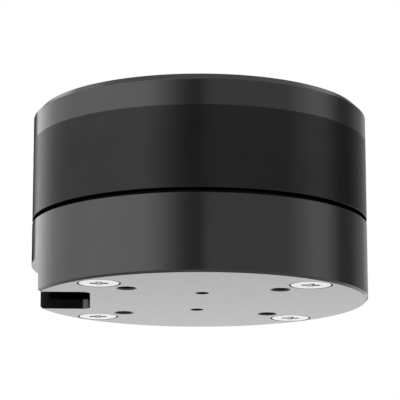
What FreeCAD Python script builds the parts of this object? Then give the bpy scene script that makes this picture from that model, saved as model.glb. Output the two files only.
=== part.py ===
import FreeCAD, Part
import math
import os
import re
import Sketcher

# A 40 mm gimbal motor: an outer-rotor brushless motor with a hollow shaft and a magnetic encoder.
# The mounting face lies on Z = 0, the shaft runs along +Z and the cable outlet faces -X.
# Every size is in millimetres, angles in degrees.

SIZES = {
    # overall form
    "body_diameter": 40.0,
    "housing_height": 8.92,
    "running_gap": 0.58,
    "ring_height": 9.45,
    "cap_height": 3.75,
    "fit_clearance": 0.02,
    # base housing, a cup that is open towards the rotor
    "housing_wall": 1.05,
    "floor_thickness": 1.15,
    "base_chamfer": 0.25,
    "outlet_width": 12.25,
    "outlet_gap": 0.2,
    "outlet_height": 4.1,
    "outlet_corner": 1.1,
    "corner_pad_radius": 2.4,
    "corner_pad_top": 4.5,
    "mount_circle": 25.0,
    "mount_hole": 2.05,
    "mouth_chamfer": 0.2,
    # countersunk screws that hold the stator base down on the corner pads
    "screw_edge": 3.0,
    "screw_diameter": 2.5,
    "screw_clearance": 0.1,
    "screw_sink": 5.0,
    "head_clearance": 0.15,
    "head_land": 0.4,
    "screw_short": 0.6,
    "screw_point": 0.4,
    "recess_length": 2.05,
    "recess_width": 0.65,
    "recess_depth": 1.2,
    # encoder board, its posts, screws, sensor and socket
    "sensor_gap": 0.8,
    "board_clearance": 0.5,
    "board_thickness": 0.8,
    "tongue_clearance": 0.525,
    "tongue_margin": 0.9,
    "board_screw_spacing": 12.0,
    "board_screw_diameter": 1.6,
    "board_screw_tip": 2.2,
    "board_screw_head": 3.4,
    "board_screw_head_height": 1.1,
    "board_post_radius": 1.8,
    "chip_length": 5.0,
    "chip_width": 4.4,
    "chip_height": 0.9,
    "chip_chamfer": 0.2,
    "socket_length": 4.2,
    "socket_end": 1.375,
    "socket_floor_gap": 0.2,
    "socket_wall": 0.55,
    "pin_count": 6,
    "pin_pitch": 1.25,
    "pin_thickness": 0.3,
    "pin_length": 2.4,
    # stator base with the hub that carries both bearings and the lip that keeps dust out of the gap
    "flange_drop": 0.32,
    "flange_thickness": 1.6,
    "lip_clearance": 0.15,
    "lip_wall": 0.3,
    "lip_rise": 0.4,
    "post_inset": 0.13,
    "hub_share": 0.486,
    "hub_shoulder": 1.5,
    "hub_land": 0.7,
    # laminated core, end insulators, coils and their leads
    "air_gap": 0.23,
    "stack_inset": 1.725,
    "tooth_count": 12,
    "tooth_share": 0.149,
    "yoke_width": 2.2,
    "shoe_thickness": 1.1,
    "shoe_span": 25.0,
    "insulator_thickness": 0.4,
    "coil_clearance": 0.1,
    "coil_end_gap": 0.3,
    "coil_overhang": 1.3,
    "coil_inner_gap": 0.25,
    "coil_outer_gap": 0.6,
    "coil_corner": 0.9,
    "lead_diameter": 0.8,
    "lead_hole": 1.2,
    "lead_inset": 0.5,
    "lead_spread": 40.0,
    "lead_count": 3,
    # rotor: flux ring, magnets, cap and hollow shaft
    "ring_wall": 1.25,
    "ring_chamfer": 0.04,
    "magnet_count": 14,
    "magnet_span": 22.5,
    "magnet_thickness": 1.0,
    "magnet_overhang": 0.75,
    "cap_plate": 2.3,
    "cap_chamfer": 0.8,
    "cap_hub_margin": 2.0,
    "cap_hub_gap": 0.5,
    "collar_height": 1.4,
    "collar_step": 0.25,
    "spigot_depth": 0.9,
    "spigot_wall": 1.0,
    "load_circle": 16.0,
    "load_hole": 2.05,
    "load_hole_count": 4,
    "shaft_diameter": 8.0,
    "shaft_bore": 5.0,
    "shaft_tail": 0.4,
    "shaft_chamfer": 0.2,
    "shaft_recess": 0.1,
    "washer_thickness": 0.3,
    "clip_thickness": 0.5,
    "clip_depth": 0.3,
    "clip_reach": 1.1,
    "clip_span": 320.0,
    "encoder_magnet_diameter": 6.0,
    "encoder_magnet_length": 2.5,
    "encoder_magnet_drop": 0.2,
    # the two ball bearings
    "bearing_inset": 0.8,
    "bearing_outer": 14.0,
    "bearing_width": 4.0,
    "land_gap": 0.45,
    "ball_diameter": 1.6,
    "ball_count": 11,
    "ball_clearance": 0.02,
    "cage_wall": 0.5,
    "cage_below": 0.3,
    "cage_above": 1.25,
    "cage_clearance": 0.08,
    "shield_thickness": 0.2,
    "shield_inset": 0.1,
    "shield_clearance": 0.12,
}

# Radii and heights that follow from the sizes above.
DERIVED = {
    "body_radius": "body_diameter / 2",
    "housing_bore": "body_radius - housing_wall",
    "screw_place": "body_radius - screw_edge",
    "mount_place": "mount_circle / 2",
    "ring_bottom": "housing_height + running_gap",
    "ring_top": "ring_bottom + ring_height",
    "cap_top": "ring_top + cap_height",
    "cap_ceiling": "cap_top - cap_plate",
    "ring_bore": "body_radius - ring_wall",
    "magnet_rim": "ring_bore - fit_clearance",
    "magnet_face": "magnet_rim - magnet_thickness",
    "flange_top": "housing_height - flange_drop",
    "flange_seat": "flange_top - flange_thickness",
    "flange_radius": "housing_bore - fit_clearance",
    "lip_radius": "ring_bore - lip_clearance",
    "lip_bore": "lip_radius - lip_wall",
    "lip_top": "ring_bottom + lip_rise",
    "stator_radius": "magnet_face - air_gap",
    "stack_bottom": "ring_bottom + stack_inset",
    "stack_top": "ring_top - stack_inset",
    "stack_height": "stack_top - stack_bottom",
    "hub_radius": "stator_radius * hub_share",
    "shoulder_radius": "hub_radius + hub_shoulder",
    "yoke_radius": "hub_radius + yoke_width",
    "shoe_radius": "stator_radius - shoe_thickness",
    "tooth_width": "stator_radius * tooth_share",
    "slot_slope": "tan(180 deg / tooth_count)",
    "coil_start": "yoke_radius + coil_end_gap",
    "coil_finish": "shoe_radius * cos(shoe_span / 2 * 1 deg) - coil_end_gap",
    "coil_gap": "insulator_thickness + coil_clearance",
    "coil_bottom": "stack_bottom - insulator_thickness - coil_overhang",
    "coil_top": "stack_top + insulator_thickness + coil_overhang",
    "lead_place": "coil_start + lead_inset",
    "cap_hub_radius": "load_circle / 2 + cap_hub_margin",
    "cap_hub_bottom": "coil_top + cap_hub_gap",
    "bearing_seat": "flange_seat + bearing_inset",
    "lower_bearing": "bearing_seat + bearing_width / 2",
    "upper_bearing_top": "cap_hub_bottom - collar_height",
    "upper_bearing": "upper_bearing_top - bearing_width / 2",
    "hub_bore": "bearing_outer / 2 + fit_clearance",
    "hub_land_radius": "bearing_outer / 2 - hub_land",
    "shaft_radius": "shaft_diameter / 2",
    "race_bore": "shaft_radius + fit_clearance",
    "ball_place": "(shaft_radius + bearing_outer / 2) / 2",
    "inner_land": "ball_place - land_gap",
    "outer_land": "ball_place + land_gap",
    "collar_radius": "inner_land - collar_step",
    "clip_top": "bearing_seat - washer_thickness",
    "clip_bottom": "clip_top - clip_thickness",
    "shaft_bottom": "clip_bottom - shaft_tail",
    "shaft_top": "cap_top - shaft_recess",
    "encoder_magnet_bottom": "shaft_bottom - encoder_magnet_drop",
    "encoder_magnet_top": "encoder_magnet_bottom + encoder_magnet_length",
    "board_top": "encoder_magnet_bottom - sensor_gap - chip_height",
    "board_seat": "board_top - board_thickness",
    "board_radius": "mount_place - corner_pad_radius - board_clearance",
    "tongue_end": "lead_place + lead_diameter / 2 + tongue_margin",
    "tongue_half": "outlet_width / 2 - tongue_clearance",
    "outlet_end": "tongue_end + outlet_gap",
    "socket_bottom": "floor_thickness + socket_floor_gap",
    "socket_half": "(pin_count - 1) / 2 * pin_pitch + socket_end",
}

doc = FreeCAD.newDocument("gimbal_motor")
sheet = doc.addObject("Spreadsheet::Sheet", "Sizes")
for row, (alias, size) in enumerate(SIZES.items(), start=1):
    sheet.set(f"A{row}", alias)
    sheet.set(f"B{row}", str(size))
    sheet.setAlias(f"B{row}", alias)
doc.recompute()


def formula(text):
    """Writes named sizes and places as references to the sheet's cells."""

    def reference(word):
        name = word.group()
        if name in SIZES:
            return f"Sizes.{name}"
        if name in DERIVED:
            return f"({formula(DERIVED[name])})"
        return name

    return re.sub(r"[a-z_]+", reference, str(text))


def value(text):
    """The present value of a formula."""
    return float(sheet.evalExpression(formula(text)))


def bind(thing, **properties):
    """Ties properties of an object to formulas."""
    for name, text in properties.items():
        thing.setExpression(name, formula(text))


def origin(body, role):
    """One of the body's own origin planes or axes."""
    return next(part for part in body.Origin.OriginFeatures if part.Role == role)


def new_body(node):
    """An empty body that becomes the node of that name."""
    return doc.addObject("PartDesign::Body", node)


def sketch_on(body, name, plane, lift="0", turn=0.0):
    """An empty sketch on an origin plane, lifted along its normal and turned about the motor's axis."""
    sketch = body.newObject("Sketcher::SketchObject", name)
    sketch.AttachmentSupport = [(origin(body, plane), "")]
    sketch.MapMode = "FlatFace"
    axis = FreeCAD.Vector(0, 0, 1) if plane == "XY_Plane" else FreeCAD.Vector(0, 1, 0)
    sketch.AttachmentOffset = FreeCAD.Placement(FreeCAD.Vector(), FreeCAD.Rotation(axis, turn))
    if lift != "0":
        sketch.setExpression("AttachmentOffset.Base.z", formula(lift))
    return sketch


def pin_point(sketch, geometry, point, across, up):
    """Fixes a point of a sketch at two formulas."""
    for kind, text, axis in (("DistanceX", across, -2), ("DistanceY", up, -1)):
        if text == "0":
            sketch.addConstraint(Sketcher.Constraint("PointOnObject", geometry, point, axis))
            continue
        index = sketch.addConstraint(Sketcher.Constraint(kind, -1, 1, geometry, point, value(text)))
        sketch.setExpression(f"Constraints[{index}]", formula(text))


def pin_radius(sketch, geometry, text):
    """Fixes the radius of an arc or circle at a formula."""
    index = sketch.addConstraint(Sketcher.Constraint("Radius", geometry, value(text)))
    sketch.setExpression(f"Constraints[{index}]", formula(text))


def arc_between(start, end, radius):
    """The short anticlockwise arc from one point to another."""
    chord = end - start
    across = FreeCAD.Vector(-chord.y, chord.x, 0).normalize()
    rise = math.sqrt(max(radius**2 - (chord.Length / 2) ** 2, 0.0))
    centre = start + chord * 0.5 + across * rise
    circle = Part.Circle(centre, FreeCAD.Vector(0, 0, 1), radius)
    first = math.atan2(start.y - centre.y, start.x - centre.x)
    last = math.atan2(end.y - centre.y, end.x - centre.x)
    return Part.ArcOfCircle(circle, first, last)


def outline(sketch, corners):
    """Draws a closed outline, anticlockwise where it has arcs.

    A corner is two formulas, or three where an arc of the third's radius leads to it.
    """
    places = [FreeCAD.Vector(value(corner[0]), value(corner[1]), 0) for corner in corners]
    count = len(corners)
    for index in range(count):
        following = (index + 1) % count
        if len(corners[following]) == 3:
            edge = arc_between(places[index], places[following], value(corners[following][2]))
        else:
            edge = Part.LineSegment(places[index], places[following])
        sketch.addGeometry(edge, False)
    for index in range(count):
        following = (index + 1) % count
        sketch.addConstraint(Sketcher.Constraint("Coincident", index, 2, following, 1))
    for index in range(count):
        pin_point(sketch, index, 1, corners[index][0], corners[index][1])
        following = corners[(index + 1) % count]
        if len(following) == 3:
            pin_radius(sketch, index, following[2])
    return sketch


def rectangle(sketch, left, right, low, high):
    """Draws a rectangle between four formulas."""
    return outline(sketch, [(left, low), (right, low), (right, high), (left, high)])


def rounded_rectangle(sketch, half_width, low, high, corner):
    """Draws a rectangle with round corners, centred across."""
    inner = f"({half_width}) - ({corner})"
    bottom = f"({low}) + ({corner})"
    top = f"({high}) - ({corner})"
    corners = [
        (f"-({inner})", low, corner),
        (inner, low),
        (half_width, bottom, corner),
        (half_width, top),
        (inner, high, corner),
        (f"-({inner})", high),
        (f"-({half_width})", top, corner),
        (f"-({half_width})", bottom),
    ]
    return outline(sketch, corners)


def circle(sketch, across, up, radius):
    """Draws a circle at two formulas."""
    centre = FreeCAD.Vector(value(across), value(up), 0)
    ring = Part.Circle(centre, FreeCAD.Vector(0, 0, 1), value(radius))
    geometry = sketch.addGeometry(ring, False)
    pin_point(sketch, geometry, 3, across, up)
    pin_radius(sketch, geometry, radius)
    return sketch


def slot_outline(sketch, near, far, radius):
    """Draws a slot with round ends along the sketch's own X axis."""
    size = value(radius)
    ends = [FreeCAD.Vector(value(far), 0, 0), FreeCAD.Vector(value(near), 0, 0)]
    lift = FreeCAD.Vector(0, size, 0)
    quarter = math.pi / 2
    for end, first in zip(ends, (-quarter, quarter)):
        ring = Part.Circle(end, FreeCAD.Vector(0, 0, 1), size)
        sketch.addGeometry(Part.ArcOfCircle(ring, first, first + math.pi), False)
        other = ends[1] if end is ends[0] else ends[0]
        sketch.addGeometry(Part.LineSegment(end + lift, other + lift), False)
        lift = lift * -1
    for index in range(4):
        sketch.addConstraint(Sketcher.Constraint("Tangent", index, 2, (index + 1) % 4, 1))
    for arc, place in ((0, far), (2, near)):
        pin_point(sketch, arc, 3, place, "0")
        pin_radius(sketch, arc, radius)
    return sketch


def upright_axis(sketch, across, height):
    """Draws a construction line to turn a section about, and returns it as an axis."""
    foot = FreeCAD.Vector(value(across), 0, 0)
    top = FreeCAD.Vector(value(across), value(height), 0)
    line = sketch.addGeometry(Part.LineSegment(foot, top), True)
    pin_point(sketch, line, 1, across, "0")
    pin_point(sketch, line, 2, across, height)
    return (sketch, ["Axis0"])


def feature(body, kind, name, sketch, **settings):
    """A sketch-based feature of a body."""
    made = body.newObject(f"PartDesign::{kind}", name)
    made.Profile = sketch
    for setting, choice in settings.items():
        setattr(made, setting, choice)
    return made


def revolve(body, name, corners, span=None, turn=0.0):
    """Turns a section of radii and heights about the motor's axis, all round or over a centred span."""
    sketch = outline(sketch_on(body, f"{name}_section", "XZ_Plane", turn=turn), corners)
    made = feature(body, "Revolution", name, sketch, ReferenceAxis=(sketch, ["V_Axis"]), Angle=360)
    if span:
        made.Midplane = True
        bind(made, Angle=span)
    return made


def pad(body, name, sketch, length, down=False):
    """Raises a sketch along its normal, or the other way."""
    made = feature(body, "Pad", name, sketch, Reversed=down)
    bind(made, Length=length)
    return made


def pocket(body, name, sketch, depth, up=False):
    """Cuts a sketch down into the body, or up along the sketch's normal."""
    made = feature(body, "Pocket", name, sketch, Reversed=up)
    bind(made, Length=depth)
    return made


def polar(body, name, originals, count):
    """Repeats features evenly round the motor's axis."""
    made = body.newObject("PartDesign::PolarPattern", name)
    made.Originals = originals
    made.Axis = (origin(body, "Z_Axis"), [""])
    made.Angle = 360
    bind(made, Occurrences=count)
    body.Tip = made
    return made


CORNERS = 4
CORNER_TURN = 45.0


def countersink(body, name, place, face, radius, land="", up=False):
    """Cuts a hole's right-angled cone into a face on the corner line, below a straight land if it has one."""
    sketch = sketch_on(body, f"{name}_section", "XZ_Plane", turn=CORNER_TURN)
    into = "+" if up else "-"
    rim = f"{place} + {radius}"
    corners = [(place, face), (rim, face)]
    depth = radius
    if land:
        corners.append((rim, f"{face} {into} {land}"))
        depth = f"{radius} + {land}"
    outline(sketch, [*corners, (place, f"{face} {into} ({depth})")])
    made = feature(body, "Groove", name, sketch, Angle=360)
    made.ReferenceAxis = upright_axis(sketch, place, "body_diameter")
    return made


def make_base_housing():
    """The cup that carries everything: floor, wall, corner pads, board posts and the cable outlet."""
    body = new_body("base_housing")
    revolve(
        body,
        "cup",
        [
            ("0", "0"),
            ("body_radius - base_chamfer", "0"),
            ("body_radius", "base_chamfer"),
            ("body_radius", "housing_height"),
            ("housing_bore", "housing_height"),
            ("housing_bore", "floor_thickness"),
            ("0", "floor_thickness"),
        ],
    )
    pad_sketch = sketch_on(body, "corner_pad_outline", "XY_Plane", turn=CORNER_TURN)
    slot_outline(pad_sketch, "mount_place", "screw_place", "corner_pad_radius")
    corner_pad = pad(body, "corner_pad", pad_sketch, "corner_pad_top")
    mount_sketch = sketch_on(body, "mount_hole_outline", "XY_Plane", turn=CORNER_TURN)
    circle(mount_sketch, "mount_place", "0", "mount_hole / 2")
    mount_hole = pocket(body, "mounting_hole", mount_sketch, "corner_pad_top", up=True)
    screw_sketch = sketch_on(body, "screw_hole_outline", "XY_Plane", turn=CORNER_TURN)
    circle(screw_sketch, "screw_place", "0", "screw_diameter / 2 + screw_clearance")
    screw_hole = pocket(body, "screw_hole", screw_sketch, "corner_pad_top", up=True)
    mouth_radius = "mount_hole / 2 + mouth_chamfer"
    mouth = countersink(body, "mounting_hole_mouth", "mount_place", "0", mouth_radius, up=True)
    sink_radius = "screw_sink / 2"
    sink = countersink(body, "screw_countersink", "screw_place", "0", sink_radius, "head_land", up=True)
    polar(body, "corners", [corner_pad, mount_hole, mouth, screw_hole, sink], f"{CORNERS}")
    for side, name in (("", "front"), ("-", "back")):
        place = f"{side}board_screw_spacing / 2"
        post = sketch_on(body, f"{name}_post_outline", "XY_Plane")
        pad(body, f"{name}_post", circle(post, "0", place, "board_post_radius"), "board_seat")
        hole = sketch_on(body, f"{name}_post_hole_outline", "XY_Plane")
        circle(hole, "0", place, "board_screw_diameter / 2")
        body.Tip = pocket(body, f"{name}_post_hole", hole, "board_seat", up=True)
    outlet = sketch_on(body, "cable_outlet_outline", "XY_Plane")
    half = "outlet_width / 2"
    bend = "outlet_corner"
    outline(
        outlet,
        [
            ("-body_diameter", f"-{half}"),
            (f"-outlet_end - {bend}", f"-{half}"),
            ("-outlet_end", f"-{half} + {bend}", bend),
            ("-outlet_end", f"{half} - {bend}"),
            (f"-outlet_end - {bend}", half, bend),
            ("-body_diameter", half),
        ],
    )
    body.Tip = pocket(body, "cable_outlet", outlet, "outlet_height", up=True)


def make_housing_screws():
    """Countersunk machine screws, up through the corner pads into the stator base."""
    body = new_body("housing_screws")
    centre = "screw_place"
    shank = "screw_diameter / 2"
    head = "screw_sink / 2 - head_clearance"
    tip = "flange_top - screw_short"
    sketch = sketch_on(body, "screw_section", "XZ_Plane", turn=CORNER_TURN)
    outline(
        sketch,
        [
            (centre, "0"),
            (f"{centre} + {head}", "0"),
            (f"{centre} + {head}", "head_land + head_clearance - fit_clearance"),
            (f"{centre} + {shank}", f"head_land + screw_sink / 2 - {shank} - fit_clearance"),
            (f"{centre} + {shank}", f"{tip} - screw_point"),
            (f"{centre} + {shank} - screw_point", tip),
            (centre, tip),
        ],
    )
    screw = feature(body, "Revolution", "screw", sketch, Angle=360)
    screw.ReferenceAxis = upright_axis(sketch, centre, tip)
    across = f"screw_place * cos({CORNER_TURN} deg)"
    up = f"screw_place * sin({CORNER_TURN} deg)"
    long, short = "recess_length / 2", "recess_width / 2"
    arms = []
    for name, half_width, half_height in (("long", long, short), ("cross", short, long)):
        arm = sketch_on(body, f"recess_{name}_outline", "XY_Plane")
        low, high = f"{up} - {half_height}", f"{up} + {half_height}"
        rectangle(arm, f"{across} - {half_width}", f"{across} + {half_width}", low, high)
        arms.append(pocket(body, f"recess_{name}", arm, "recess_depth", up=True))
    polar(body, "corners", [screw, *arms], f"{CORNERS}")


def make_stator_base():
    """The flange that sits in the housing, its dust lip and the hub that holds core and bearings."""
    body = new_body("stator_base")
    lower_top = "lower_bearing + bearing_width / 2"
    upper_bottom = "upper_bearing - bearing_width / 2"
    revolve(
        body,
        "flange_and_hub",
        [
            ("hub_bore", "flange_seat"),
            ("flange_radius", "flange_seat"),
            ("flange_radius", "flange_top"),
            ("lip_radius", "flange_top"),
            ("lip_radius", "lip_top"),
            ("lip_bore", "lip_top"),
            ("lip_bore", "flange_top"),
            ("shoulder_radius", "flange_top"),
            ("shoulder_radius", "stack_bottom"),
            ("hub_radius", "stack_bottom"),
            ("hub_radius", "upper_bearing_top"),
            ("hub_bore", "upper_bearing_top"),
            ("hub_bore", upper_bottom),
            ("hub_land_radius", upper_bottom),
            ("hub_land_radius", lower_top),
            ("hub_bore", lower_top),
        ],
    )
    post_sketch = sketch_on(body, "post_outline", "XY_Plane", lift="corner_pad_top", turn=CORNER_TURN)
    circle(post_sketch, "screw_place", "0", "flange_radius - screw_place - post_inset")
    post = pad(body, "post", post_sketch, "flange_seat - corner_pad_top")
    hole_sketch = sketch_on(body, "thread_outline", "XY_Plane", lift="corner_pad_top", turn=CORNER_TURN)
    circle(hole_sketch, "screw_place", "0", "screw_diameter / 2 + fit_clearance")
    hole = pocket(body, "thread", hole_sketch, "flange_top - corner_pad_top", up=True)
    polar(body, "corners", [post, hole], f"{CORNERS}")
    for index in range(int(value("lead_count"))):
        sketch = sketch_on(body, f"lead_hole_{index + 1}_outline", "XY_Plane", lift="flange_seat")
        across, up = lead_spot(index)
        circle(sketch, across, up, "lead_hole / 2")
        body.Tip = pocket(body, f"lead_hole_{index + 1}", sketch, "flange_thickness", up=True)


def lead_spot(index):
    """Where a phase lead stands, on an arc centred over the cable outlet."""
    angle = f"(180 - lead_spread / 2 + {index} * lead_spread / (lead_count - 1)) * 1 deg"
    return f"lead_place * cos({angle})", f"lead_place * sin({angle})"


def make_stator_core():
    """The lamination stack: a yoke ring with pole-shoed teeth."""
    body = new_body("stator_core")
    bore = "hub_radius + fit_clearance"
    revolve(
        body,
        "yoke",
        [
            (bore, "stack_bottom"),
            ("yoke_radius", "stack_bottom"),
            ("yoke_radius", "stack_top"),
            (bore, "stack_top"),
        ],
    )
    half = "tooth_width / 2"
    root = "yoke_radius - yoke_width / 2"
    end = "shoe_radius + shoe_thickness / 2"
    neck_sketch = sketch_on(body, "neck_outline", "XY_Plane", lift="stack_bottom")
    rectangle(neck_sketch, root, end, f"-{half}", half)
    neck = pad(body, "neck", neck_sketch, "stack_height")
    shoe = revolve(
        body,
        "shoe",
        [
            ("shoe_radius", "stack_bottom"),
            ("stator_radius", "stack_bottom"),
            ("stator_radius", "stack_top"),
            ("shoe_radius", "stack_top"),
        ],
        span="shoe_span",
    )
    polar(body, "teeth", [neck, shoe], "tooth_count")


def make_insulator(node, low):
    """A thin star that keeps the coils off the end of the stack."""
    body = new_body(node)
    high = f"{low} + insulator_thickness"
    bore = "shoulder_radius + fit_clearance"
    revolve(
        body,
        "ring",
        [(bore, low), ("yoke_radius", low), ("yoke_radius", high), (bore, high)],
    )
    half = "tooth_width / 2"
    sketch = sketch_on(body, "arm_outline", "XY_Plane", lift=low)
    rectangle(sketch, bore, "shoe_radius", f"-{half}", half)
    arm = pad(body, "arm", sketch, "insulator_thickness")
    polar(body, "arms", [arm], "tooth_count")


def make_phase_coils():
    """One winding round each tooth, wider towards the shoes where the slot is wider."""
    body = new_body("phase_coils")
    ends = []
    for name, place, gap in (
        ("inner", "coil_start", "coil_inner_gap"),
        ("outer", "coil_finish", "coil_outer_gap"),
    ):
        sketch = sketch_on(body, f"{name}_end", "YZ_Plane", lift=place)
        half = f"{place} * slot_slope - {gap}"
        ends.append(rounded_rectangle(sketch, half, "coil_bottom", "coil_top", "coil_corner"))
    winding = body.newObject("PartDesign::AdditiveLoft", "winding")
    winding.Profile = ends[0]
    winding.Sections = [ends[1]]
    winding.Ruled = True
    window_sketch = sketch_on(body, "window_outline", "YZ_Plane", lift="coil_start")
    half = "tooth_width / 2 + coil_clearance"
    rectangle(window_sketch, f"-({half})", half, "stack_bottom - coil_gap", "stack_top + coil_gap")
    window = pocket(body, "window", window_sketch, "coil_finish - coil_start", up=True)
    polar(body, "phases", [winding, window], "tooth_count")


def make_phase_leads():
    """Insulated leads that drop from the coils through the flange to the board."""
    body = new_body("phase_leads")
    for index in range(int(value("lead_count"))):
        sketch = sketch_on(body, f"lead_{index + 1}_outline", "XY_Plane", lift="board_top")
        across, up = lead_spot(index)
        circle(sketch, across, up, "lead_diameter / 2")
        body.Tip = pad(body, f"lead_{index + 1}", sketch, "coil_bottom - board_top")


def make_encoder_board():
    """The round circuit board on its two posts, with a tongue over the cable socket."""
    body = new_body("encoder_board")
    disc = sketch_on(body, "disc_outline", "XY_Plane", lift="board_seat")
    pad(body, "disc", circle(disc, "0", "0", "board_radius"), "board_thickness")
    tongue = sketch_on(body, "tongue_outline", "XY_Plane", lift="board_seat")
    rectangle(tongue, "-tongue_end", "0", "-tongue_half", "tongue_half")
    pad(body, "tongue", tongue, "board_thickness")
    for side, name in (("", "front"), ("-", "back")):
        hole = sketch_on(body, f"{name}_hole_outline", "XY_Plane", lift="board_seat")
        radius = "board_screw_diameter / 2 + fit_clearance"
        circle(hole, "0", f"{side}board_screw_spacing / 2", radius)
        body.Tip = pocket(body, f"{name}_hole", hole, "board_thickness", up=True)


def make_board_screws():
    """Pan-head screws that hold the board on its posts."""
    body = new_body("board_screws")
    for side, name in (("", "front"), ("-", "back")):
        place = f"{side}board_screw_spacing / 2"
        head = sketch_on(body, f"{name}_head_outline", "XY_Plane", lift="board_top")
        circle(head, "0", place, "board_screw_head / 2")
        pad(body, f"{name}_head", head, "board_screw_head_height")
        shank = sketch_on(body, f"{name}_shank_outline", "XY_Plane", lift="board_top")
        circle(shank, "0", place, "board_screw_diameter / 2 - fit_clearance")
        body.Tip = pad(body, f"{name}_shank", shank, "board_top - board_screw_tip", down=True)


def make_encoder_chip():
    """The angle sensor in the middle of the board, under the encoder magnet."""
    body = new_body("encoder_chip")
    sketch = sketch_on(body, "chip_outline", "XY_Plane", lift="board_top")
    half = "chip_length / 2"
    wide = "chip_width / 2"
    rectangle(sketch, f"-{half}", half, f"-{wide}", wide)
    block = pad(body, "chip", sketch, "chip_height")
    doc.recompute()
    top = value("board_top + chip_height")
    rim = [
        f"Edge{index}"
        for index, edge in enumerate(block.Shape.Edges, start=1)
        if all(abs(vertex.Z - top) < 1e-6 for vertex in edge.Vertexes)
    ]
    bevel = body.newObject("PartDesign::Chamfer", "bevel")
    bevel.Base = (block, rim)
    bind(bevel, Size="chip_chamfer")
    body.Tip = bevel


def make_cable_socket():
    """The socket under the board's tongue, with its mouth towards the cable outlet."""
    body = new_body("cable_socket")
    shell = sketch_on(body, "shell_outline", "XY_Plane", lift="socket_bottom")
    rectangle(shell, "-tongue_end", "-tongue_end + socket_length", "-socket_half", "socket_half")
    pad(body, "shell", shell, "board_seat - socket_bottom")
    mouth = sketch_on(body, "mouth_outline", "YZ_Plane", lift="-tongue_end")
    inner = "socket_half - socket_wall"
    rectangle(mouth, f"-({inner})", inner, "socket_bottom + socket_wall", "board_seat - socket_wall")
    body.Tip = pocket(body, "mouth", mouth, "socket_length - socket_wall", up=True)
    pins = new_body("socket_pins")
    middle = "(socket_bottom + board_seat) / 2"
    thin = "pin_thickness / 2"
    back = "-tongue_end + socket_length - socket_wall"
    for index in range(int(value("pin_count"))):
        place = f"({index} - (pin_count - 1) / 2) * pin_pitch"
        sketch = sketch_on(pins, f"pin_{index + 1}_outline", "YZ_Plane", lift=back)
        left, right = f"{place} - {thin}", f"{place} + {thin}"
        rectangle(sketch, left, right, f"{middle} - {thin}", f"{middle} + {thin}")
        pins.Tip = pad(pins, f"pin_{index + 1}", sketch, "pin_length", down=True)


def make_rotor_cap():
    """The turned cap: plate, hub for the load's screws, and a spigot inside the flux ring."""
    body = new_body("rotor_cap")
    spigot = "ring_bore - fit_clearance"
    spigot_bottom = "ring_top - spigot_depth"
    revolve(
        body,
        "cap",
        [
            ("race_bore", "upper_bearing_top"),
            ("collar_radius", "upper_bearing_top"),
            ("collar_radius", "cap_hub_bottom"),
            ("cap_hub_radius", "cap_hub_bottom"),
            ("cap_hub_radius", "cap_ceiling"),
            (f"{spigot} - spigot_wall", "cap_ceiling"),
            (f"{spigot} - spigot_wall", spigot_bottom),
            (spigot, spigot_bottom),
            (spigot, "ring_top"),
            ("body_radius", "ring_top"),
            ("body_radius", "cap_top - cap_chamfer"),
            ("body_radius - cap_chamfer", "cap_top"),
            ("race_bore", "cap_top"),
        ],
    )
    sketch = sketch_on(body, "load_hole_outline", "XY_Plane", lift="cap_top", turn=CORNER_TURN)
    circle(sketch, "load_circle / 2", "0", "load_hole / 2")
    hole = pocket(body, "load_hole", sketch, "cap_top - cap_hub_bottom")
    mouth_radius = "load_hole / 2 + mouth_chamfer"
    mouth = countersink(body, "load_hole_mouth", "load_circle / 2", "cap_top", mouth_radius)
    polar(body, "load_holes", [hole, mouth], "load_hole_count")


def make_flux_ring():
    """The steel ring that closes the magnets' field and forms the motor's waist."""
    body = new_body("flux_ring")
    revolve(
        body,
        "ring",
        [
            ("ring_bore", "ring_bottom"),
            ("body_radius - ring_chamfer", "ring_bottom"),
            ("body_radius", "ring_bottom + ring_chamfer"),
            ("body_radius", "ring_top"),
            ("ring_bore", "ring_top"),
        ],
    )


def make_rotor_magnets():
    """Arc magnets, bonded side by side inside the flux ring."""
    body = new_body("rotor_magnets")
    low = "stack_bottom - magnet_overhang"
    high = "stack_top + magnet_overhang"
    magnet = revolve(
        body,
        "magnet",
        [("magnet_face", low), ("magnet_rim", low), ("magnet_rim", high), ("magnet_face", high)],
        span="magnet_span",
    )
    polar(body, "poles", [magnet], "magnet_count")


def make_shaft():
    """The hollow shaft, with a seat for the encoder magnet and the groove for its retaining clip."""
    body = new_body("shaft")
    bore = "shaft_bore / 2"
    seat = "encoder_magnet_diameter / 2 + fit_clearance"
    edge = "shaft_radius - shaft_chamfer"
    groove = "shaft_radius - clip_depth"
    revolve(
        body,
        "tube",
        [
            (seat, "shaft_bottom"),
            (edge, "shaft_bottom"),
            ("shaft_radius", "shaft_bottom + shaft_chamfer"),
            ("shaft_radius", "clip_bottom - fit_clearance"),
            (groove, "clip_bottom - fit_clearance"),
            (groove, "clip_top"),
            ("shaft_radius", "clip_top"),
            ("shaft_radius", "shaft_top - shaft_chamfer"),
            (edge, "shaft_top"),
            (bore, "shaft_top"),
            (bore, "encoder_magnet_top"),
            (seat, "encoder_magnet_top"),
        ],
    )


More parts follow.
